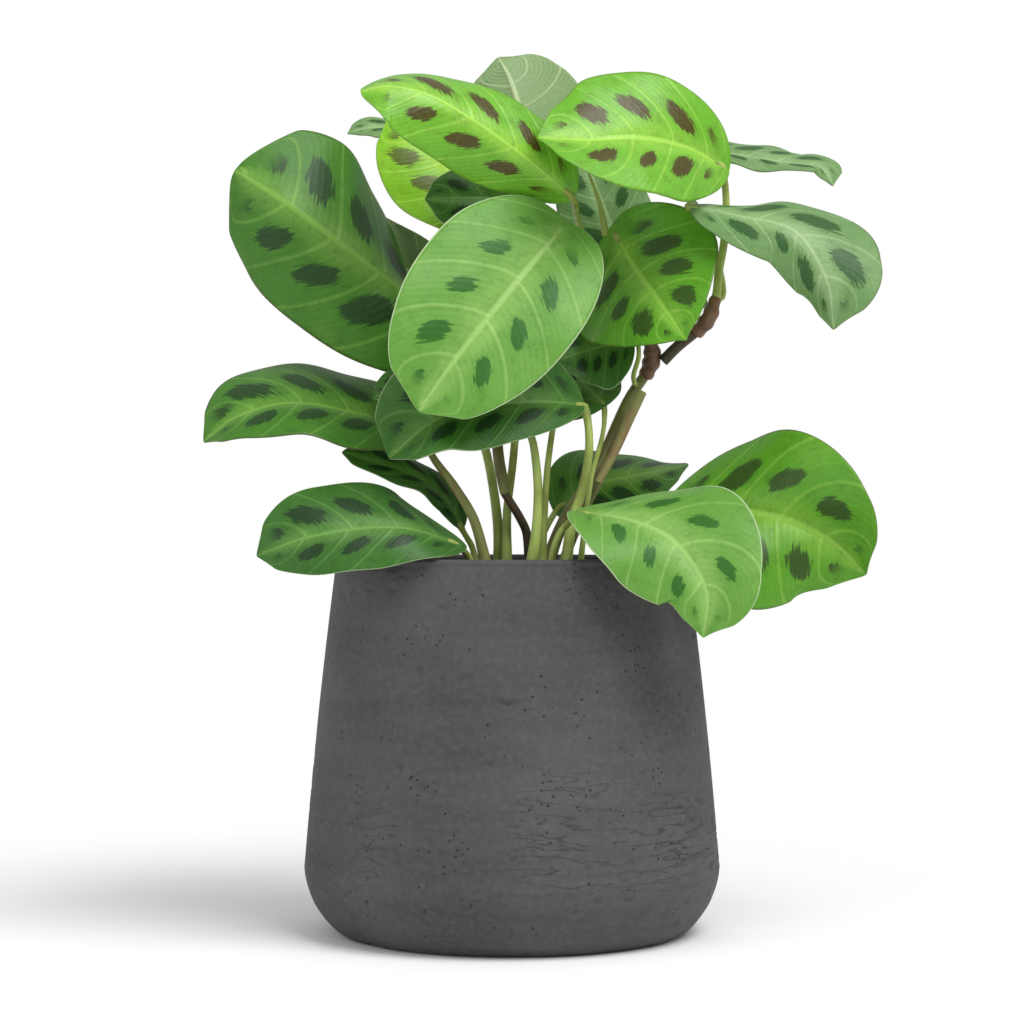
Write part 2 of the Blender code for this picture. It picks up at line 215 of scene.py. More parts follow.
LEAVES = (
    Leaf("leaf_front", ((20, -36, 285), (1, -53, 261), (-22, -65, 231), (-36, -68, 211)),
         (1, -9, 4), (1, -10, 1), (33, 37), (0.37, 0.46), 4, (18, 23), "satin"),
    Leaf("leaf_left_tall",
         ((-26, 4, 250), (-46, -8, 264), (-68, -15, 280), (-90, -18, 296), (-113, -12, 311)),
         (3, -6, 7), (-4, -9, 1), (38, 50), (0.32, 0.32), 22, (-14, -22), "mature"),
    Leaf("leaf_top_left",
         ((24, -30, 298), (4, -45, 313), (-28, -58, 333), (-46, -60, 338), (-59, -60, 336)),
         (-3, -9, 1), (-1, -6, 8), (22, 25), (0.49, 0.34), 1, (-18, -12), "young"),
    Leaf("leaf_top_right", ((86, -10, 313), (70, -24, 319), (50, -37, 321), (30, -46, 319), (10, -50, 319)),
         (4, -9, 2), (2, -6, 7), (30, 32), (0.64, 0.60), 4, (15, 17), "young"),
    # This leaf's bright colour holds painted light from behind its backlit blade.
    Leaf("leaf_yellow", ((-3, 10, 291), (-22, 4, 309), (-38, 2, 325), (-51, 5, 336)),
         (2, -7, 7), (-4, -9, 4), (28, 26), (0.57, 0.58), 4, (14, 12), "lime"),
    Leaf("leaf_dark_inner", ((13, -8, 293), (-5, -14, 299), (-21, -20, 299), (-35, -24, 298)),
         (0, -8, 6), (1, -10, 2), (19, 15), (0.52, 0.60), 2, (7, 15), "shade"),
    Leaf("leaf_pale_inner", ((50, 26, 276), (41, 24, 295), (34, 24, 312), (30, 26, 327)),
         (0, -9, 3), (0, -9, 3), (20, 20), (0.50, 0.62), 2, (10, 10), "bluish"),
    Leaf("leaf_right_inner", ((43, 4, 286), (50, -8, 272), (60, -28, 255), (69, -42, 240)),
         (-6, 3, 7), (-3, -9, 4), (35, 35), (0.59, 0.90), 6, (11, 6), "mature"),
    Leaf("leaf_right_droop",
         ((72, -20, 296), (90, -30, 291), (112, -38, 284), (124, -43, 264), (127, -44, 244)),
         (4, -6, 7), (-5, -6, 6), (31, 17), (0.63, 0.65), 0, (-6, -14), "bluish"),
    Leaf("leaf_right_thin", ((78, 12, 323), (96, 8, 320), (116, 2, 316), (127, 0, 314), (132, -2, 306)),
         (0, -5, 9), (0, -4, 9), (21, 12), (0.51, 0.67), 0, (6, 9), "bluish"),
    Leaf("leaf_back_top", ((10, 26, 314), (4, 34, 340), (-1, 40, 357), (-6, 42, 366)),
         (3, 9, 4), (0, 8, -5), (28, 28), (0.54, 0.54), 2, (16, 11), "mature"),
    Leaf("leaf_back_tip", ((-24, 20, 320), (-43, 24, 332), (-58, 24, 334), (-69, 22, 331)),
         (0, -4, 9), (0, -6, 8), (11, 11), (0.50, 0.57), 0, (11, 11), "bluish"),
    Leaf("leaf_shadow_right", ((50, -3, 243), (40, -3, 241), (29, -4, 238), (18, -8, 234)),
         (0, -8, 5), (1, -9, 5), (20, 14), (0.50, 0.62), 0, (8, 12), "shade"),
    Leaf("leaf_small_under", ((37, -6, 217), (31, 4, 224), (24, 14, 232), (16, 24, 239)),
         (-2, -8, 5), (0, -7, 7), (18, 14), (0.42, 0.65), 3, (0, 6), "mature"),
    Leaf("leaf_dark_behind", ((27, 2, 233), (15, -6, 228), (-3, -14, 222)),
         (0, -7, 7), (1, -9, 4), (10, 9), (0.55, 0.50), 0, (8, 12), "shade"),
    Leaf("leaf_low_centre",
         ((29, -24, 215), (11, -36, 216), (-9, -46, 214), (-30, -54, 208), (-48, -56, 193)),
         (1, -9, 4), (-7, -7, -2), (19, 28), (0.62, 0.50), 0, (27, 26), "shade"),
    Leaf("leaf_left_mid",
         ((-38, -10, 206), (-62, -18, 212), (-88, -28, 216), (-110, -34, 210), (-123, -34, 200)),
         (-1, -5, 9), (-1, -4, 9), (29, 38), (0.46, 0.59), 7, (4, 17), "mature"),
    Leaf("leaf_peek_left", ((-25, -16, 228), (-41, -20, 223), (-56, -22, 218)),
         (0, -7, 7), (0, -8, 6), (7, 12), (0.51, 0.55), 0, (13, 13), "shade"),
    Leaf("leaf_left_lower", ((-20, -14, 165), (-26, -16, 176), (-39, -22, 187), (-68, -30, 196)),
         (-2, -5, 8), (-3, -7, 6), (8, 11), (0.60, 0.50), 0, (5, 8), "shade"),
    Leaf("leaf_rim_left",
         ((-22, -52, 160), (-41, -63, 166), (-58, -66, 166), (-80, -68, 162), (-99, -64, 155)),
         (-1, -4, 8), (2, -8, 4), (18, 26), (0.60, 0.60), 5, (-8, 11), "shade"),
    Leaf("leaf_rim_right", ((27, -48, 172), (46, -59, 169), (62, -70, 161), (74, -79, 142), (73, -80, 124)),
         (0, -2, 9), (-3, -10, -1), (34, 28), (0.50, 0.72), 3, (6, 14), "satin"),
    Leaf("leaf_far_right",
         ((62, -8, 174), (88, -20, 173), (110, -29, 169), (128, -34, 160), (141, -36, 147)),
         (2, -5, 8), (-4, -9, -3), (37, 42), (0.52, 0.66), 0, (20, 18), "mature"),
    Leaf("leaf_behind_stems", ((20, 24, 174), (36, 26, 184), (54, 26, 188), (74, 22, 192)),
         (3, -9, 3), (0, -3, 10), (26, 22), (0.54, 0.48), 3, (-6, -5), "mature"),
    Leaf("leaf_back_left", ((-16, 38, 268), (-38, 39, 272), (-56, 37, 284), (-70, 35, 300)),
         (0, 9, 4), (0, 9, 4), (16, 14), (0.50, 0.62), 2, (11, 13), "mature"),
)

STEMS = (
    Stem("petiole_left_mid", ((-9, -24, 151), (-15, -24, 168), (-23, -22, 182), (-32, -12, 194)),
         (2.4, 1.3), "leaf_left_mid", True, "sheathed"),
    Stem("petiole_left_lower", ((-14, -14, 152), (-16, -11, 157)), (1.5, 1.1), "leaf_left_lower", True),
    Stem("petiole_left_tall", ((-5, -6, 152), (-6, -6, 169), (-11, 0, 198), (-21, 6, 224)), (2.2, 1.4),
         "leaf_left_tall", True),
    Stem("cane_left_low", ((7, -12, 151), (6, -14, 163), (3, -16, 170), (-2, -18, 178)),
         (1.9, 1.7), "", True, "dark"),
    Stem("cane_left_up",
         ((-3, -18, 182), (-5, -18, 191), (-6, -14, 202), (-5, 0, 220), (-3, 6, 247), (-2, 14, 283)),
         (2.4, 1.6), look="olive"),
    Stem("petiole_front", ((-2, -14, 152), (-2, -10, 172), (0, -12, 189), (3, -24, 216), (10, -30, 250)),
         (1.8, 1.2), "leaf_front", True),
    Stem("petiole_peek", ((7, -34, 152), (10, -32, 168), (10, -30, 188), (6, -32, 206), (-8, -26, 218)),
         (2.2, 1.0), "leaf_peek_left", True),
    Stem("petiole_dark_behind", ((12, -20, 151), (13, -18, 169), (15, -14, 195), (20, -4, 220)), (1.6, 1.0),
         "leaf_dark_behind", True),
    Stem("petiole_low_centre", ((21, -34, 152), (24, -28, 168), (28, -26, 180), (31, -27, 198)), (2.3, 1.4),
         "leaf_low_centre", True),
    Stem("petiole_small_under", ((27, -18, 152), (32, -16, 185), (37, -12, 204)),
         (1.2, 0.9), "leaf_small_under", True),
    Stem("cane_main", ((12, -8, 151), (21, -10, 168), (34, -8, 188), (48, 4, 218), (54, 8, 227)),
         (2.6, 2.2), "", True, "olive"),
    Stem("cane_second", ((18, 2, 151), (30, 2, 173), (38, 4, 189), (49, 12, 215), (53, 14, 225)),
         (2.0, 1.6), "", True, "olive"),
    Stem("cut_sheath", ((36, -14, 186), (42, -12, 197), (47, -10, 208), (52, -8, 219)),
         (1.6, 2.2), look="sheathed"),
    Stem("node_lower", ((56, 8, 230), (58, 6, 236), (57, 4, 242)), (3.4, 3.0), look="node"),
    Stem("cane_right", ((64, 4, 236), (68, 3, 240), (73, 1, 244)), (2.4, 2.2), look="dark"),
    Stem("node_upper", ((77, 0, 247), (81, -2, 252), (83, -2, 258)), (3.2, 2.6), look="node"),
    Stem("petiole_top_right", ((84, -2, 261), (85, -2, 271), (87, -2, 282), (88, -3, 296)), (1.9, 1.3),
         "leaf_top_right"),
    Stem("petiole_top_left", ((57, 5, 246), (50, 14, 256), (36, 20, 272), (29, 2, 286), (26, -16, 293)),
         (1.8, 1.2), "leaf_top_left"),
    Stem("sheath_top_left", ((38, -3, 288), (36, -5, 298), (32, -6, 309)), (1.6, 0.5), look="petiole"),
    Stem("petiole_rim_left", ((-14, -40, 150), (-17, -46, 154)), (1.5, 1.2), "leaf_rim_left", True),
    Stem("petiole_rim_right", ((14, -46, 150), (18, -48, 162)), (1.6, 1.2), "leaf_rim_right", True),
    Stem("petiole_far_right", ((34, -2, 150), (46, -4, 166)), (1.7, 1.3), "leaf_far_right", True),
    Stem("petiole_behind_stems", ((9, 14, 151), (12, 20, 160)), (1.7, 1.2), "leaf_behind_stems", True),
    Stem("petiole_right_droop", ((87, 2, 262), (83, 4, 282), (75, -6, 298)),
         (1.5, 1.1), "leaf_right_droop"),
    Stem("petiole_right_thin", ((80, 8, 258), (77, 13, 280), (75, 15, 305)), (1.4, 1.0), "leaf_right_thin"),
    Stem("petiole_back_top", ((3, 18, 284), (8, 23, 300)), (1.4, 1.1), "leaf_back_top"),
    Stem("petiole_back_tip", ((-3, 20, 286), (-12, 20, 305)), (1.2, 0.9), "leaf_back_tip"),
    Stem("petiole_yellow", ((-7, 9, 262), (-6, 10, 277)), (1.0, 0.8), "leaf_yellow"),
    Stem("petiole_dark_inner", ((2, 4, 256), (10, -2, 276)), (1.3, 1.0), "leaf_dark_inner"),
    Stem("petiole_pale_inner", ((56, 14, 246), (54, 20, 262)), (1.4, 1.1), "leaf_pale_inner"),
    Stem("petiole_right_inner", ((53, 0, 247), (47, 2, 264)), (1.4, 1.1), "leaf_right_inner"),
    Stem("petiole_back_left", ((-8, 14, 244), (-11, 28, 257)), (1.3, 1.0), "leaf_back_left"),
    Stem("petiole_shadow_right", ((50, 0, 228), (52, -3, 236)), (1.1, 0.9), "leaf_shadow_right"),
)


def linear(code: str) -> tuple:
    """Turn an sRGB hex colour into linear RGBA.

    Args:
        code: the colour, such as "#7dc03c".
    Returns:
        Four linear values.
    """
    parts = [int(code[i:i + 2], 16) / 255 for i in (1, 3, 5)]
    return (*[p / 12.92 if p <= 0.04045 else ((p + 0.055) / 1.055) ** 2.4 for p in parts], 1.0)


class Field:
    """A number in a shader tree, with arithmetic."""

    def __init__(self, tree: bpy.types.NodeTree, socket: bpy.types.NodeSocket) -> None:
        self.tree = tree
        self.socket = socket

    def math(self, operation: str, *values: object) -> "Field":
        """Apply a Math operation to this number and others.

        Args:
            operation: the Math node's operation.
            values: numbers or Fields.
        Returns:
            The result.
        """
        return compute(self.tree, operation, self, *values)

    def __add__(self, other: object) -> "Field":
        return self.math("ADD", other)

    __radd__ = __add__

    def __sub__(self, other: object) -> "Field":
        return self.math("SUBTRACT", other)

    def __rsub__(self, other: object) -> "Field":
        return compute(self.tree, "SUBTRACT", other, self)

    def __mul__(self, other: object) -> "Field":
        return self.math("MULTIPLY", other)

    def __truediv__(self, other: object) -> "Field":
        return self.math("DIVIDE", other)

    def __abs__(self) -> "Field":
        return self.math("ABSOLUTE")

    def step(self, low: float, high: float) -> "Field":
        """Rise smoothly from 0 to 1.

        Args:
            low: the value that gives 0.
            high: the value that gives 1.
        Returns:
            The result.
        """
        made = self.tree.nodes.new("ShaderNodeMapRange")
        made.interpolation_type = "SMOOTHSTEP"
        made.inputs["From Min"].default_value = low
        made.inputs["From Max"].default_value = high
        self.tree.links.new(self.socket, made.inputs["Value"])
        return Field(self.tree, made.outputs["Result"])


def compute(tree: bpy.types.NodeTree, operation: str, *values: object) -> Field:
    """Make a Math node.

    Args:
        tree: the shader tree that it goes in.
        operation: the node's operation.
        values: numbers or Fields.
    Returns:
        The result.
    """
    made = tree.nodes.new("ShaderNodeMath")
    made.operation = operation
    for slot, value in zip(made.inputs, values):
        if isinstance(value, Field):
            tree.links.new(value.socket, slot)
        else:
            slot.default_value = value
    return Field(tree, made.outputs[0])


class Finish:
    """A material under construction."""

    def __init__(self, name: str) -> None:
        self.material = bpy.data.materials.new(name)
        self.material.use_nodes = True
        self.tree = self.material.node_tree
        self.shader = self.tree.nodes["Principled BSDF"]

    def node(self, kind: str, inputs: dict | None = None, **settings: object) -> bpy.types.Node:
        """Make any node.

        Args:
            kind: the node's type.
            inputs: input name to number, Field or socket.
            settings: the node's own properties.
        Returns:
            The node.
        """
        made = self.tree.nodes.new(kind)
        for key, value in settings.items():
            setattr(made, key, value)
        for key, value in (inputs or {}).items():
            if isinstance(value, Field):
                value = value.socket
            if isinstance(value, bpy.types.NodeSocket):
                self.tree.links.new(value, made.inputs[key])
            else:
                made.inputs[key].default_value = value
        return made

    def noise(self, scale: float, vector: object, detail: float = 4.0) -> Field:
        """Make a noise.

        Args:
            scale: how fine it is.
            vector: the place that it is read at.
            detail: how many finer layers it holds.
        Returns:
            The noise, from 0 to 1.
        """
        made = self.node("ShaderNodeTexNoise", {"Scale": scale, "Detail": detail, "Vector": vector})
        return Field(self.tree, made.outputs["Fac"])

    def place(self, stretch: tuple = (1, 1, 1)) -> bpy.types.NodeSocket:
        """Read the object's coordinates.

        Args:
            stretch: what each axis is multiplied by.
        Returns:
            The stretched coordinates.
        """
        coords = self.node("ShaderNodeTexCoord").outputs["Object"]
        made = self.node("ShaderNodeVectorMath", {0: coords, 1: stretch}, operation="MULTIPLY")
        return made.outputs[0]

    def blend(self, amount: Field, low: object, high: object) -> bpy.types.NodeSocket:
        """Mix two colours.

        Args:
            amount: 0 for the first and 1 for the second.
            low: the first colour, a hex code or a socket.
            high: the second colour, a hex code or a socket.
        Returns:
            The mixed colour.
        """
        made = self.tree.nodes.new("ShaderNodeMix")
        made.data_type = "RGBA"
        self.tree.links.new(amount.socket, made.inputs[0])
        for slot, value in ((made.inputs[6], low), (made.inputs[7], high)):
            if isinstance(value, str):
                slot.default_value = linear(value)
            else:
                self.tree.links.new(value, slot)
        return made.outputs[2]

    def close(self, colour: object, roughness: object, height: Field, strength: float, depth: float) -> None:
        """Feed the surface.

        Args:
            colour: the base colour.
            roughness: a number or a Field.
            height: what the bump rises by.
            strength: how much of the bump shows.
            depth: the bump's full height in metres.
        """
        self.tree.links.new(colour, self.shader.inputs["Base Color"])
        if isinstance(roughness, Field):
            self.tree.links.new(roughness.socket, self.shader.inputs["Roughness"])
        else:
            self.shader.inputs["Roughness"].default_value = roughness
        bump = self.node("ShaderNodeBump", {"Height": height, "Strength": strength, "Distance": depth})
        self.tree.links.new(bump.outputs[0], self.shader.inputs["Normal"])


def blade_fields(finish: Finish) -> tuple:
    """Read the leaf's pattern from its UV map.

    Args:
        finish: the material under construction.
    Returns:
        Five fields: along, across, cell phase, cell number and side.
    """
    coords = finish.node("ShaderNodeUVMap", uv_map=BLADE_MAP).outputs[0]
    split = finish.node("ShaderNodeSeparateXYZ", {0: coords})
    along = Field(finish.tree, split.outputs[0])
    signed = Field(finish.tree, split.outputs[1]) * 2.0 - 1.0
    across = abs(signed)
    side = signed.math("GREATER_THAN", 0.0)
    bent = along - across.math("POWER", VEIN_BEND) * VEIN_SLANT
    row = bent * RIB_CELLS + side * CELL_STAGGER + (CELL_SHIFT + CELL_OFFSET)
    return along, across, row.math("FRACT"), row.math("FLOOR"), side


def vein_line(phase: Field, width: float) -> Field:
    """Draw the side veins, which run where two cells meet.

    Args:
        phase: how far through its cell a place is, 0 to 1.
        width: the share of a cell over which a vein fades out.
    Returns:
        1 on a vein and 0 away from it.
    """
    return 1.0 - abs(phase - 0.5).math("SUBTRACT", 0.5).math("ABSOLUTE").step(0.0, width)


def fine_ribs(phase: Field) -> Field:
    """Draw the fine parallel ribs between the side veins.

    Args:
        phase: how far through its cell a place is, 0 to 1.
    Returns:
        A wave from 0 to 1.
    """
    return (phase * FINE_RIBS).math("SINE") * 0.5 + 0.5


def upper_material(leaf: Leaf, look: Look) -> bpy.types.Material:
    """Make the upper face: light midrib and side veins, darker flesh, and a blotch in each cell.

    Args:
        leaf: the blade.
        look: its finish.
    Returns:
        The material.
    """
    colours = LEAF_FINISHES[look]
    finish = Finish(f"{leaf.name}_upper")
    along, across, phase, cell, side = blade_fields(finish)
    grain = finish.noise(900.0, finish.place(), 6.0)
    cloud = finish.noise(45.0, finish.place(), 3.0)
    streaked = {0: phase * 9.0 + cell * 5.0, 1: across * 2.2, 2: side * 4.0}
    feather = finish.noise(2.2, finish.node("ShaderNodeCombineXYZ", streaked).outputs[0], 5.0)
    mottle = finish.noise(210.0, finish.place(), 5.0)
    rib = 1.0 - across.step(0.012, 0.05)
    vein = vein_line(phase, 0.07)
    fine = fine_ribs(phase)
    glow = 1.0 - across.step(0.02, 0.42)
    seed = cell * 7.13 + side * 3.7 + float(len(leaf.name))
    chance = finish.node("ShaderNodeTexWhiteNoise", {"W": seed}, noise_dimensions="1D").outputs[0]
    size = (Field(finish.tree, chance) * 0.35 + 0.75) * colours.spot
    off_phase = (phase - BLOTCH_PHASE) / BLOTCH_LENGTH
    off_across = (across - BLOTCH_ACROSS) / BLOTCH_WIDTH
    reach = (off_phase * off_phase + off_across * off_across).math("SQRT") / size
    ragged = reach + (grain - 0.5) * 0.3 + (cloud - 0.5) * 0.45 + (feather - 0.5) * 1.25
    ends = along.step(0.06, 0.16) * (1.0 - along.step(0.86, 0.94))
    spot = (1.0 - ragged.step(0.76, 0.98)) * ends
    halo = (1.0 - ragged.step(0.9, 1.7)) * 0.35
    pale = (vein * 0.38 + glow * 0.45 + (cloud - 0.5) * 0.7 + (fine - 0.5) * 0.07).math("MINIMUM", 1.0)
    colour = finish.blend(pale, colours.base, colours.light)
    colour = finish.blend(halo, colour, colours.base)
    freckle = (mottle * 0.7 + grain * 0.5 - 0.52).step(0.0, 0.5) * 0.55
    colour = finish.blend(freckle, colour, colours.blotch)
    colour = finish.blend(spot * (0.93 + (grain - 0.5) * 0.3), colour, colours.blotch)
    colour = finish.blend(rib * 0.75, colour, colours.light)
    colour = finish.blend(across.step(0.975, 1.0) * 0.8, colour, colours.margin)
    height = vein * 0.7 + rib + fine * 0.22 + grain * 0.35
    finish.close(colour, grain * 0.16 + (colours.roughness - 0.06), height, 0.5, 0.00035)
    finish.shader.inputs["Coat Weight"].default_value = 0.03
    finish.shader.inputs["Specular IOR Level"].default_value = 0.32
    finish.shader.inputs["Coat Roughness"].default_value = 0.35
    return finish.material


def under_material(leaf: Leaf, look: Look) -> bpy.types.Material:
    """Make the lower face: grey-green with raised paler veins.

    Args:
        leaf: the blade.
        look: its finish.
    Returns:
        The material.
    """
    colours = LEAF_FINISHES[look]
    finish = Finish(f"{leaf.name}_under")
    _, across, phase, _, _ = blade_fields(finish)
    grain = finish.noise(700.0, finish.place(), 5.0)
    rib = 1.0 - across.step(0.015, 0.06)
    vein = vein_line(phase, 0.08)
    fine = fine_ribs(phase)
    colour = finish.blend(grain * 0.5 + fine * 0.15, colours.under, colours.base)
    colour = finish.blend((vein * 0.5 + rib).math("MINIMUM", 1.0) * 0.7, colour, VEIN_COLOUR)
    finish.close(colour, 0.6, vein + rib * 1.5 + fine * 0.3 + grain * 0.3, 0.6, 0.0004)
    return finish.material


def margin_material(leaf: Leaf, look: Look) -> bpy.types.Material:
    """Make the edge of the sheet: a thin line of the margin's colour.

    Args:
        leaf: the blade.
        look: its finish.
    Returns:
        The material.
    """
    finish = Finish(f"{leaf.name}_margin")
    colours = LEAF_FINISHES[look]
    grain = finish.noise(300.0, finish.place())
    finish.close(finish.blend(grain, colours.margin, colours.base), 0.5, grain, 0.2, 0.0001)
    return finish.material


def stalk_material(name: str, look: Look) -> bpy.types.Material:
    """Make a stalk's skin: streaked along its length, with dull patches.

    Args:
        name: the stalk's name.
        look: its finish.
    Returns:
        The material.
    """
    colours = STALK_FINISHES[look]
    finish = Finish(f"{name}_skin")
    streak = finish.noise(260.0, finish.place((1.0, 1.0, 0.12)), 5.0)
    patch = finish.noise(60.0, finish.place(), 3.0)
    colour = finish.blend((streak + patch - 0.5).step(0.25, 0.75), colours.low, colours.high)
    colour = finish.blend(patch.step(0.62, 0.8) * 0.5, colour, "#6b4a34")
    finish.close(colour, streak * 0.3 + 0.35, streak, 0.5, 0.0004)
    return finish.material


def clay_material() -> bpy.types.Material:
    """Make the fibre clay: cloudy charcoal with pale dust, and pores and hair-thin cracks that are bumped in
    and darkened with painted shade.

    Returns:
        The material.
    """
    finish = Finish("fibre_clay")
    place = finish.place()
    cloud = finish.noise(14.0, place, 6.0)
    speck = finish.noise(420.0, place, 8.0)
    wash = finish.noise(30.0, finish.place((0.25, 0.25, 2.5)), 5.0)
    cells = finish.node("ShaderNodeTexVoronoi", {"Scale": 330.0, "Vector": place})
    pores = Field(finish.tree, cells.outputs[0])
    some = finish.noise(60.0, place, 2.0)
    shaded_pore = (1.0 - pores.step(0.10, 0.24)) * some.step(0.50, 0.62)
    colour = finish.blend((cloud + wash * 0.6 - 0.3).step(0.2, 0.8), "#393739", "#4f4c4f")
    colour = finish.blend((speck - 0.42) * 0.55, colour, "#777376")
    # Painted shade: the pores are darkened almost to black, as shade inside the holes.
    colour = finish.blend(shaded_pore * 0.9, colour, "#1b1a1b")
    height = Field(finish.tree, finish.node("ShaderNodeSeparateXYZ", {0: finish.place()}).outputs[2])
    low_band = height.step(0.018, 0.034) * (1.0 - height.step(0.052, 0.082))
    wavy = finish.noise(34.0, finish.place((1.0, 1.0, 5.5)), 5.0)
    shaded_crack = (1.0 - abs(wavy - 0.5).step(0.004, 0.014)) * low_band * cloud.step(0.50, 0.64)
    # Painted shade: the thin cracks low on the wall are darkened, as shade inside them.
    colour = finish.blend(shaded_crack * 0.45, colour, "#161516")
    relief = speck * 0.25 + wash * 0.3 - shaded_pore - shaded_crack * 1.5
    finish.close(colour, speck * 0.2 + 0.72, relief, 0.7, 0.0006)
    return finish.material


def soil_material() -> bpy.types.Material:
    """Make the dark crumbly potting soil.

    Returns:
        The material.
    """
    finish = Finish("potting_soil")
    grain = finish.noise(500.0, finish.place(), 8.0)
    lump = finish.noise(120.0, finish.place(), 4.0)
    colour = finish.blend((grain + lump - 0.5).step(0.3, 0.75), "#1d140e", "#5a4230")
    finish.close(colour, 0.95, grain + lump, 1.0, 0.002)
    return finish.material


def smooth_route(points: np.ndarray, shares: np.ndarray) -> tuple:
    """Follow a smooth curve through points.

    Args:
        points: the points that it passes.
        shares: how far along to read it, 0 to 1.
    Returns:
        The places and the unit directions there.
    """
    steps = np.linalg.norm(np.diff(points, axis=0), axis=1)
    knots = np.concatenate([[0.0], np.cumsum(steps)]) / steps.sum()
    slopes = np.empty_like(points)
    slopes[0] = (points[1] - points[0]) / (knots[1] - knots[0])
    slopes[-1] = (points[-1] - points[-2]) / (knots[-1] - knots[-2])
    slopes[1:-1] = (points[2:] - points[:-2]) / (knots[2:] - knots[:-2])[:, None]
    i = np.clip(np.searchsorted(knots, shares, side="right") - 1, 0, len(points) - 2)
    span = (knots[i + 1] - knots[i])[:, None]
    s = (shares - knots[i])[:, None] / span
    start, end, pull, push = points[i], points[i + 1], slopes[i] * span, slopes[i + 1] * span
    place = start * (2 * s**3 - 3 * s**2 + 1) + pull * (s**3 - 2 * s**2 + s)
    place += end * (3 * s**2 - 2 * s**3) + push * (s**3 - s**2)
    heading = (start - end) * (6 * s**2 - 6 * s) + pull * (3 * s**2 - 4 * s + 1) + push * (3 * s**2 - 2 * s)
    return place, unit(heading)


def unit(vectors: np.ndarray) -> np.ndarray:
    """Scale vectors to length 1.

    Args:
        vectors: one vector, or one in each row.
    Returns:
        The scaled vectors.
    """
    return vectors / np.linalg.norm(vectors, axis=-1, keepdims=True)


def blade_places(leaf: Leaf, share: np.ndarray, across: np.ndarray) -> np.ndarray:
    """Return the points of a blade in mm, with its quilting and rippled edge.

    Args:
        leaf: the blade.
        share: how far along the midrib each point is, 0 to 1.
        across: how far out it is, -1 to 1 of the half width.
    Returns:
        One row of three for each point.
    """
    place, ahead = smooth_route(np.array(leaf.rib, float), share)
    base, tip = unit(np.array(leaf.face_base, float)), unit(np.array(leaf.face_tip, float))
    look = base * (1 - share)[:, None] + tip * share[:, None]
    up = unit(look - ahead * (look * ahead).sum(1)[:, None])
    side = np.where(across < 0, 0, 1)
    out = np.abs(across)
    base_power, tip_power = leaf.outline
    widest = base_power / (base_power + tip_power)
    top = widest**base_power * (1 - widest) ** tip_power
    half = np.array(leaf.half, float)[side]
    point = 1 - TIP_TAPER * np.clip((share - TIP_START) / (1 - TIP_START), 0, 1)
    reach = out * half * share**base_power * (1 - share) ** tip_power / top * point
    fold = np.radians(np.array(leaf.fold)[side])
    bend = math.radians(EDGE_CURL) / half
    sideways = (np.sin(fold + bend * reach) - np.sin(fold)) / bend * np.where(side, 1, -1)
    rise = (np.cos(fold) - np.cos(fold + bend * reach)) / bend
    phase = (share - VEIN_SLANT * out**VEIN_BEND) * RIB_CELLS + side * CELL_STAGGER + CELL_SHIFT
    fade = np.clip(4 * share * (1 - share), 0, 1)
    quilt = QUILT * (0.5 - 0.5 * np.cos(2 * np.pi * phase)) * np.clip(out * 4, 0, 1) * (1 - out**4)
    turn = len(leaf.name) * RIPPLE_LEAF
    ripple = RIPPLE * np.sin(2 * np.pi * (RIPPLE_WAVES * share + RIPPLE_SIDE * side + turn)) * out**3
    groove = -GROOVE_DEPTH * np.exp(-((out * half) ** 2) / GROOVE_SPREAD)
    lift = rise + (quilt + ripple + groove) * fade
    back = leaf.lobe * out * (1 - share) ** 3
    return place + np.cross(ahead, up) * sideways[:, None] + up * lift[:, None] - ahead * back[:, None]


def plain(made: bpy.types.Object) -> bpy.types.Object:
    """Apply an object's modifiers.

    Args:
        made: the object, which is removed.
    Returns:
        A plain mesh object of the same name.
    """
    graph = bpy.context.evaluated_depsgraph_get()
    mesh = bpy.data.meshes.new_from_object(made.evaluated_get(graph))
    name = made.name
    bpy.data.objects.remove(made, do_unlink=True)
    fixed = bpy.data.objects.new(name, mesh)
    bpy.context.scene.collection.objects.link(fixed)
    return fixed


def add(name: str, data: bpy.types.ID) -> bpy.types.Object:
    """Link data into the scene.

    Args:
        name: the object's name.
        data: its mesh, curve, light or camera.
    Returns:
        The object.
    """
    made = bpy.data.objects.new(name, data)
    bpy.context.scene.collection.objects.link(made)
    return made


def grow_leaf(leaf: Leaf) -> None:
    """Make a blade: a fine sheet with an upper face, a lower face and a margin.

    Args:
        leaf: the blade.
    """
    look = Look.FRESH if leaf.name in FRESH_LEAVES else Look(leaf.look)
    share = (1 - np.cos(np.linspace(0, np.pi, LEAF_ROWS + 1))) / 2
    across = np.linspace(-1, 1, LEAF_COLUMNS + 1)
    grid_share, grid_across = (g.ravel() for g in np.meshgrid(share, across, indexing="ij"))
    places = blade_places(leaf, grid_share, grid_across) * MM
    mesh = bpy.data.meshes.new(f"{leaf.name}_blade")
    sheet = bmesh.new()
    uv = sheet.loops.layers.uv.new(BLADE_MAP)
    verts = [sheet.verts.new(p) for p in places]
    width = LEAF_COLUMNS + 1
    for i in range(LEAF_ROWS):
        for j in range(LEAF_COLUMNS):
            corner = [i * width + j, i * width + j + 1, (i + 1) * width + j + 1, (i + 1) * width + j]
            face = sheet.faces.new([verts[k] for k in corner])
            for loop, k in zip(face.loops, corner):
                loop[uv].uv = (grid_share[k], grid_across[k] / 2 + 0.5)
    bmesh.ops.remove_doubles(sheet, verts=sheet.verts, dist=WELD * MM)
    sheet.to_mesh(mesh)
    sheet.free()
    mesh.shade_smooth()
    for build in (upper_material, under_material, margin_material):
        mesh.materials.append(build(leaf, look))
    made = add(f"{leaf.name}_blade", mesh)
    thick = made.modifiers.new("Sheet", "SOLIDIFY")
    thick.thickness = LEAF_SHEET * MM
    thick.offset = -1.0
    thick.material_offset = 1
    thick.material_offset_rim = 2
    settle(plain(made), leaf.name)


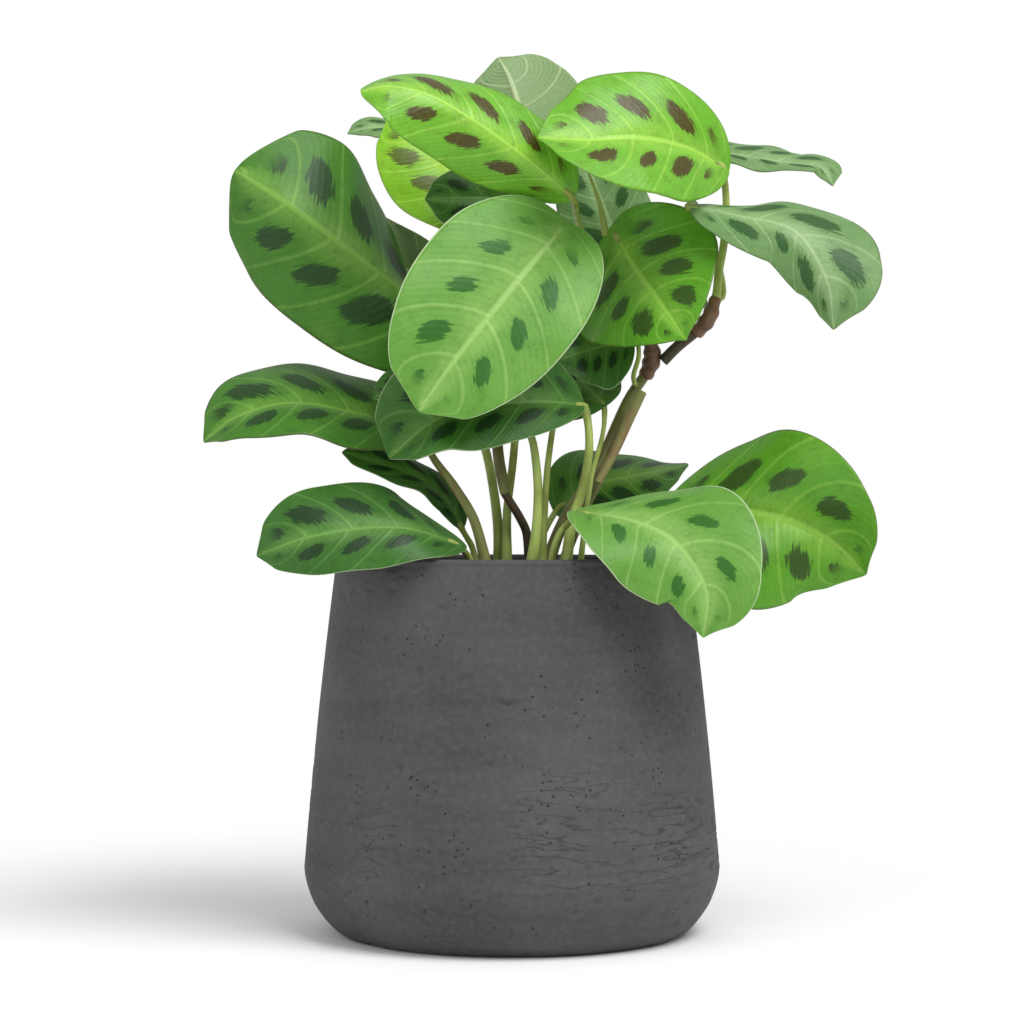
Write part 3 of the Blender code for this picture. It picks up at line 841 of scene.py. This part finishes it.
def settle(piece: bpy.types.Object, node: str) -> None:
    """Let a piece stand for a CAD node and ride on the plant's body.

    Args:
        piece: the finished mesh object.
        node: the CAD node's name.
    """
    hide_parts(node)
    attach(piece, "root")


def run_group(
    made: bpy.types.Object, group: bpy.types.NodeTree, skin: bpy.types.Material
) -> bpy.types.Object:
    """Run a Geometry Nodes group on an object.

    Args:
        made: the object, which is removed.
        group: the group, with a Skin input.
        skin: the material for that input.
    Returns:
        The result as a plain mesh object of the same name.
    """
    run = made.modifiers.new(group.name, "NODES")
    run.node_group = group
    given = next(item for item in group.interface.items_tree if item.name == "Skin")
    run[given.identifier] = skin
    return plain(made)


def sweep_group() -> bpy.types.NodeTree:
    """Build the Geometry Nodes group that sweeps a round section along a curve.

    Returns:
        The group.
    """
    group = bpy.data.node_groups.new("Stalk sweep", "GeometryNodeTree")
    face = group.interface
    face.new_socket("Curve", in_out="INPUT", socket_type="NodeSocketGeometry")
    sides = face.new_socket("Sides", in_out="INPUT", socket_type="NodeSocketInt")
    sides.default_value = STALK_SIDES
    face.new_socket("Skin", in_out="INPUT", socket_type="NodeSocketMaterial")
    face.new_socket("Stalk", in_out="OUTPUT", socket_type="NodeSocketGeometry")
    nodes, links = group.nodes, group.links
    given, result = nodes.new("NodeGroupInput"), nodes.new("NodeGroupOutput")
    circle, sweep = nodes.new("GeometryNodeCurvePrimitiveCircle"), nodes.new("GeometryNodeCurveToMesh")
    paint, smooth = nodes.new("GeometryNodeSetMaterial"), nodes.new("GeometryNodeSetShadeSmooth")
    circle.inputs["Radius"].default_value = 1.0
    sweep.inputs["Fill Caps"].default_value = True
    links.new(given.outputs["Sides"], circle.inputs["Resolution"])
    links.new(given.outputs["Curve"], sweep.inputs["Curve"])
    links.new(circle.outputs["Curve"], sweep.inputs["Profile Curve"])
    if "Scale" in sweep.inputs:
        radius = nodes.new("GeometryNodeInputRadius")
        links.new(radius.outputs[0], sweep.inputs["Scale"])
    links.new(sweep.outputs["Mesh"], smooth.inputs["Geometry"])
    links.new(smooth.outputs["Geometry"], paint.inputs["Geometry"])
    links.new(given.outputs["Skin"], paint.inputs["Material"])
    links.new(paint.outputs["Geometry"], result.inputs["Stalk"])
    return group


def stalk_radius(stem: Stem, share: float) -> float:
    """Work out a stalk's radius: it thins upwards and swells at the root, the leaf's joint or a node.

    Args:
        stem: the stalk.
        share: how far along it, 0 to 1.
    Returns:
        The radius in mm.
    """
    start, end = stem.radius
    radius = start + (end - start) * share
    if stem.leaf:
        radius *= 1 + JOINT_SWELL * math.exp(-((share - JOINT_AT) / JOINT_SPREAD) ** 2)
    if stem.rooted:
        radius *= 1 + ROOT_SWELL * math.exp(-(share / ROOT_SPREAD) ** 2)
    if stem.look == Look.NODE.value:
        radius *= 0.8 + 0.35 * math.sin(math.pi * share) + 0.08 * math.sin(7 * math.pi * share)
    return radius


def nearest_on_canes(place: np.ndarray) -> np.ndarray:
    """Find the point of the canes and their nodes that is nearest to a place.

    Args:
        place: the place, in mm.
    Returns:
        The point, in mm.
    """
    shares = np.linspace(0, 1, CANE_SAMPLES)
    canes = [stem for stem in STEMS if not stem.leaf and stem.look in CANE_LOOKS]
    places = np.concatenate([smooth_route(np.array(cane.points, float), shares)[0] for cane in canes])
    return places[np.argmin(np.linalg.norm(places - place, axis=1))]


def grow_stem(stem: Stem, group: bpy.types.NodeTree) -> None:
    """Make a stalk that reaches from the soil or its cane to its leaf's midrib.

    Args:
        stem: the stalk.
        group: the group that sweeps it.
    """
    points = [np.array(p, float) for p in stem.points]
    if stem.rooted:
        points[0] = points[0] - np.array([0.0, 0.0, ROOT_DEPTH])
    elif stem.leaf:
        points.insert(0, nearest_on_canes(points[0]))
    else:
        points[0] = points[0] - unit(points[1] - points[0]) * STALK_OVERLAP
    leaf = next((leaf for leaf in LEAVES if leaf.name == stem.leaf), None)
    if leaf:
        rib, ahead = smooth_route(np.array(leaf.rib, float), np.array([0.0, LANDING]))
        look = unit(np.array(leaf.face_base, float))
        below = (look - ahead[0] * look.dot(ahead[0])) * stem.radius[1]
        start, end = LANDING_DROPS
        points.extend([rib[0] - ahead[0] - below * start, rib[1] - below * end])
    else:
        points[-1] = points[-1] + unit(points[-1] - points[-2]) * STALK_OVERLAP
    places, _ = smooth_route(np.array(points), np.linspace(0, 1, STALK_POINTS))
    curve = bpy.data.curves.new(stem.name, "CURVE")
    curve.dimensions = "3D"
    spline = curve.splines.new("POLY")
    spline.points.add(STALK_POINTS - 1)
    for i, (point, place) in enumerate(zip(spline.points, places)):
        point.co = (*(place * MM), 1.0)
        point.radius = stalk_radius(stem, i / (STALK_POINTS - 1)) * MM
    made = add(f"{stem.name}_stalk", curve)
    settle(run_group(made, group, stalk_material(stem.name, Look(stem.look))), stem.name)


def pot_radius(height: float, top: float) -> float:
    """Return the pot's outer radius at a height: a slightly bulged wall over a rounded foot.

    Args:
        height: the height in metres.
        top: the pot's full height in metres.
    Returns:
        The radius in metres.
    """
    if height < BELLY_HEIGHT:
        share = 1 - (1 - height / BELLY_HEIGHT) ** FOOT_POWER
        return FOOT_RADIUS + (BELLY_RADIUS - FOOT_RADIUS) * share ** (1 / FOOT_POWER)
    share = (height - BELLY_HEIGHT) / (top - BELLY_HEIGHT)
    return BELLY_RADIUS + (RIM_RADIUS - BELLY_RADIUS) * share + WALL_BULGE * math.sin(math.pi * share)


def weathering(angle: float, height: float, radius: float) -> float:
    """Work out how far the clay is pitted or folded in at a place.

    Args:
        angle: the place's angle round the pot, in radians.
        height: its height in metres.
        radius: its radius in metres.
    Returns:
        The depth in metres.
    """
    place = Vector((radius * math.cos(angle), radius * math.sin(angle), height))
    pit = sum(noise.noise(place * scale) * share for scale, share in zip(PIT_SCALES, PIT_SHARES))
    where = noise.noise(place * PATCH_SCALE + PATCH_SHIFT)
    deep = max(pit - PIT_START + 0.25 * where, 0.0) * PIT_DEPTH
    band = math.exp(-(((height - CRACK_HEIGHT) / CRACK_SPREAD) ** 2))
    folds = abs(noise.noise(Vector((place.x * 28, place.y * 28, height * 190)))) * band
    crack = max(CRACK_WIDTH - folds, 0.0) * band * CRACK_DEPTH
    lip_line = LIP_LINE_DEPTH * math.exp(-(((height - LIP_LINE) / LIP_LINE_WIDTH) ** 2))
    foot = max(WORN_FOOT - height, 0.0) * FOOT_WEAR * (noise.noise(place * FOOT_SCALE) + 1)
    return min(deep + crack * max(where + 0.35, 0.0), DEEPEST) + foot + lip_line


def build_pot() -> None:
    """Make the pot's fine outside, lip and inside to the CAD pot's own profile."""
    _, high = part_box("pot")
    profile = [(0.0, 0.0, False), (FOOT_RADIUS * FOOT_FLAT, 0.0, False)]
    for share in np.linspace(0, 1, POT_RISE):
        height = FIRST_RING + (high.z - POT_LIP - FIRST_RING) * share
        profile.append((pot_radius(height, high.z), height, True))
    rim = pot_radius(high.z - POT_LIP, high.z)
    for turn in np.linspace(0, math.pi / 2, LIP_STEPS)[1:]:
        inward, down = POT_LIP * (1 - math.cos(turn)), POT_LIP * (1 - math.sin(turn))
        profile.append((rim - inward, high.z - down, False))
    for turn in np.linspace(math.pi / 2, 0, LIP_STEPS):
        outward, down = POT_LIP * (1 - math.cos(turn)), POT_LIP * (1 - math.sin(turn))
        profile.append((rim - POT_WALL + outward, high.z - down, False))
    inside = high.z - INSIDE_DEPTH
    profile += [(rim - POT_WALL, inside, False), (0.0, inside, False)]
    pot = bmesh.new()
    rings = []
    for radius, height, worn in profile:
        ring = []
        for k in range(POT_TURN if radius else 1):
            angle = 2 * math.pi * k / POT_TURN
            reach = radius - (weathering(angle, height, radius) if worn else 0.0)
            ring.append(pot.verts.new((reach * math.cos(angle), reach * math.sin(angle), height)))
        rings.append(ring)
    for lower, upper in zip(rings, rings[1:]):
        for k in range(POT_TURN):
            after = (k + 1) % POT_TURN
            corners = [lower[k % len(lower)], lower[after % len(lower)]]
            corners += [upper[after % len(upper)], upper[k % len(upper)]]
            pot.faces.new(list(dict.fromkeys(corners)))
    mesh = bpy.data.meshes.new("pot_shell")
    pot.to_mesh(mesh)
    pot.free()
    mesh.shade_smooth()
    mesh.materials.append(clay_material())
    settle(add("pot_shell", mesh), "pot")


def crumb_group() -> bpy.types.NodeTree:
    """Build the Geometry Nodes group that scatters crumbs over a surface.

    Returns:
        The group.
    """
    group = bpy.data.node_groups.new("Soil crumbs", "GeometryNodeTree")
    face = group.interface
    face.new_socket("Surface", in_out="INPUT", socket_type="NodeSocketGeometry")
    face.new_socket("Skin", in_out="INPUT", socket_type="NodeSocketMaterial")
    face.new_socket("Crumbs", in_out="OUTPUT", socket_type="NodeSocketGeometry")
    nodes, links = group.nodes, group.links
    given, result = nodes.new("NodeGroupInput"), nodes.new("NodeGroupOutput")
    scatter = nodes.new("GeometryNodeDistributePointsOnFaces")
    area = math.pi * CRUMB_FIELD**2
    scatter.inputs["Density"].default_value = CRUMB_COUNT / area
    scatter.inputs["Seed"].default_value = CRUMB_SEED
    crumb, copies = nodes.new("GeometryNodeMeshIcoSphere"), nodes.new("GeometryNodeInstanceOnPoints")
    crumb.inputs["Radius"].default_value = CRUMB_RADIUS * MM
    crumb.inputs["Subdivisions"].default_value = 2
    spread = nodes.new("FunctionNodeRandomValue")
    spread.data_type = "FLOAT_VECTOR"
    spread.inputs[0].default_value = CRUMB_SMALLEST
    spread.inputs[1].default_value = CRUMB_LARGEST
    real, paint = nodes.new("GeometryNodeRealizeInstances"), nodes.new("GeometryNodeSetMaterial")
    links.new(given.outputs["Surface"], scatter.inputs["Mesh"])
    links.new(scatter.outputs["Points"], copies.inputs["Points"])
    links.new(scatter.outputs["Rotation"], copies.inputs["Rotation"])
    links.new(crumb.outputs["Mesh"], copies.inputs["Instance"])
    links.new(spread.outputs[0], copies.inputs["Scale"])
    links.new(copies.outputs["Instances"], real.inputs["Geometry"])
    links.new(real.outputs["Geometry"], paint.inputs["Geometry"])
    links.new(given.outputs["Skin"], paint.inputs["Material"])
    links.new(paint.outputs["Geometry"], result.inputs["Crumbs"])
    return group


def build_soil(node: bpy.types.Object) -> None:
    """Finish the CAD soil and scatter crumbs on its top.

    Args:
        node: the CAD soil.
    """
    skin = soil_material()
    node.data.materials.clear()
    node.data.materials.append(skin)
    _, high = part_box("soil")
    top = bmesh.new()
    top.from_mesh(node.data)
    lowest = high.z - SOIL_DOME
    buried = [f for f in top.faces if f.calc_center_median().z < lowest or f.normal.z < FACING_UP]
    bmesh.ops.delete(top, geom=buried, context="FACES")
    mesh = bpy.data.meshes.new("soil_crumbs")
    top.to_mesh(mesh)
    top.free()
    made = run_group(add("soil_crumbs", mesh), crumb_group(), skin)
    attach(made, "root")


def add_light(name: str, place: tuple, size: float, power: float) -> None:
    """Add a soft square light that looks at the plant.

    Args:
        name: the light's name.
        place: where it stands, in metres.
        size: its width in metres.
        power: its power in watts.
    """
    lamp = bpy.data.lights.new(name, "AREA")
    lamp.size = size
    lamp.energy = power
    made = add(name, lamp)
    made.location = place
    made.rotation_euler = (AIM - Vector(place)).to_track_quat("-Z", "Y").to_euler()


def build_studio() -> None:
    """Make the white floor, the soft light from the upper right, the white surroundings and the camera."""
    mesh = bpy.data.meshes.new("studio_floor")
    plane = bmesh.new()
    bmesh.ops.create_grid(plane, x_segments=1, y_segments=1, size=FLOOR_SIZE)
    plane.to_mesh(mesh)
    plane.free()
    finish = Finish("studio_floor")
    tone = finish.noise(2.0, finish.place())
    colour = finish.blend(tone, "#f9f9f9", "#fcfcfc")
    finish.close(colour, 0.9, tone, 0.0, 0.0001)
    away = finish.node("ShaderNodeVectorMath", {0: finish.place()}, operation="LENGTH").outputs["Value"]
    far = Field(finish.tree, away).step(FLOOR_NEAR, FLOOR_FAR)
    glow = finish.node("ShaderNodeEmission", {"Strength": 1.0})
    mixed = finish.node("ShaderNodeMixShader", {0: far, 1: finish.shader.outputs[0], 2: glow.outputs[0]})
    surface = finish.tree.nodes["Material Output"].inputs["Surface"]
    finish.tree.links.new(mixed.outputs[0], surface)
    mesh.materials.append(finish.material)
    floor = add("studio_floor", mesh)
    world = bpy.data.worlds.new("studio")
    bpy.context.scene.world = world
    world.use_nodes = True
    tree = world.node_tree
    air = tree.nodes["Background"]
    path = tree.nodes.new("ShaderNodeLightPath")
    strength = compute(tree, "ADD", Field(tree, path.outputs["Is Camera Ray"]) * AIR_SEEN, AIR_LIGHT)
    air.inputs["Color"].default_value = (1.0, 1.0, 1.0, 1.0)
    tree.links.new(strength.socket, air.inputs["Strength"])
    add_light("key_light", (0.8, -0.9, 1.8), 1.3, 34.0)
    add_light("fill_light", (-1.4, -1.2, 0.9), 1.6, 8.0)
    lens = bpy.data.cameras.new("camera")
    lens.lens = LENS
    camera = add("camera", lens)
    camera.location = (0.0, -CAMERA_DISTANCE, CAMERA_HEIGHT)
    camera.rotation_euler = (math.pi / 2, 0.0, 0.0)
    bpy.context.scene.camera = camera
    bpy.context.scene.view_settings.view_transform = "Standard"


def main() -> None:
    """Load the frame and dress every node."""
    logging.basicConfig(level=logging.INFO)
    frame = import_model()
    build_studio()
    build_pot()
    build_soil(frame["nodes"]["soil"])
    group = sweep_group()
    for leaf in LEAVES:
        grow_leaf(leaf)
    for stem in STEMS:
        grow_stem(stem, group)
    LOG.info("%d leaves and %d stalks", len(LEAVES), len(STEMS))


if __name__ == "__main__":
    main()
